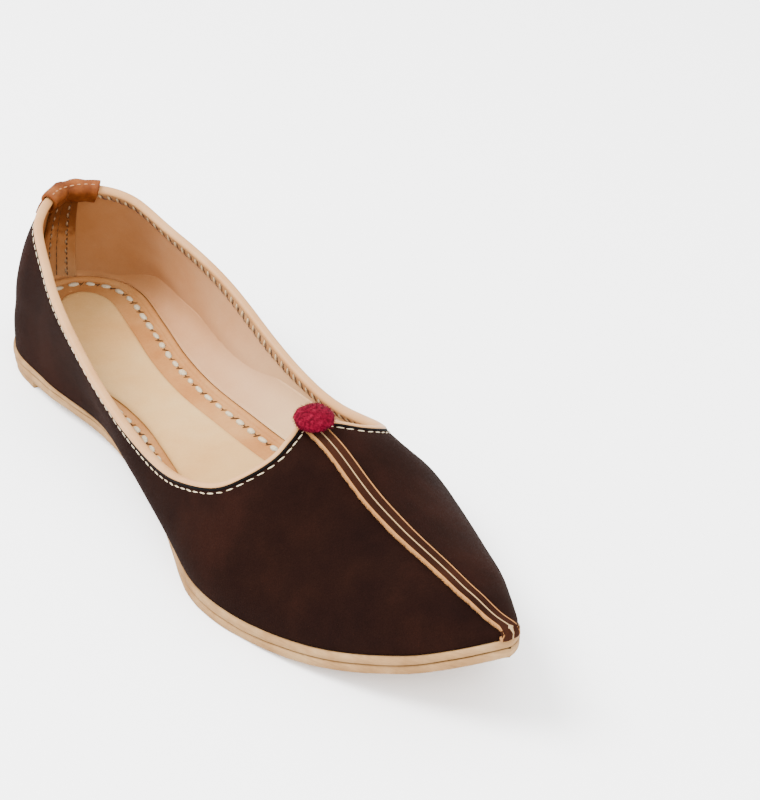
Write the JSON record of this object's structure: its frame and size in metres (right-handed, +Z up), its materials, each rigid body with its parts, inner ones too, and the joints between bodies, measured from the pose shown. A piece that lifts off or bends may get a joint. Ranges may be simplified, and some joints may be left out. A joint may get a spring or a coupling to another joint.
{
  "type": "mojari shoe",
  "caption": "Flat pointed slip-on mojari with a hollow suede upper, low open collar, leather sole with a turned-up toe, heel tab and wool button.",
  "frame": {"origin": "middle of the shoe's length and width, on the floor the shoe stands on", "axes": "+Z up from the floor; the toe points along -Y and the heel along +Y; +X is across the shoe, and the shoe is symmetrical about X = 0"},
  "size_m": [0.0896, 0.2816, 0.0657],
  "materials": {
    "suede": "dark brown suede, raised nap",
    "veg_tan_leather": "smooth vegetable-tanned lining and insole",
    "sole_leather": "natural sole leather, cut edge",
    "binding_leather": "smooth cream binding",
    "tab_leather": "tan leather",
    "wool": "felted wool"
  },
  "bodies": {
    "root": {"heel_lift": "sole_leather", "outsole": "sole_leather", "midsole": "sole_leather", "insole": "veg_tan_leather", "sock": "veg_tan_leather", "upper": "suede", "topline_binding": "binding_leather", "heel_tab": "tab_leather", "back_strip": "tab_leather", "seam_strip_left": "suede", "seam_strip_right": "suede", "wool_button": "wool"}
  },
  "joints": []
}
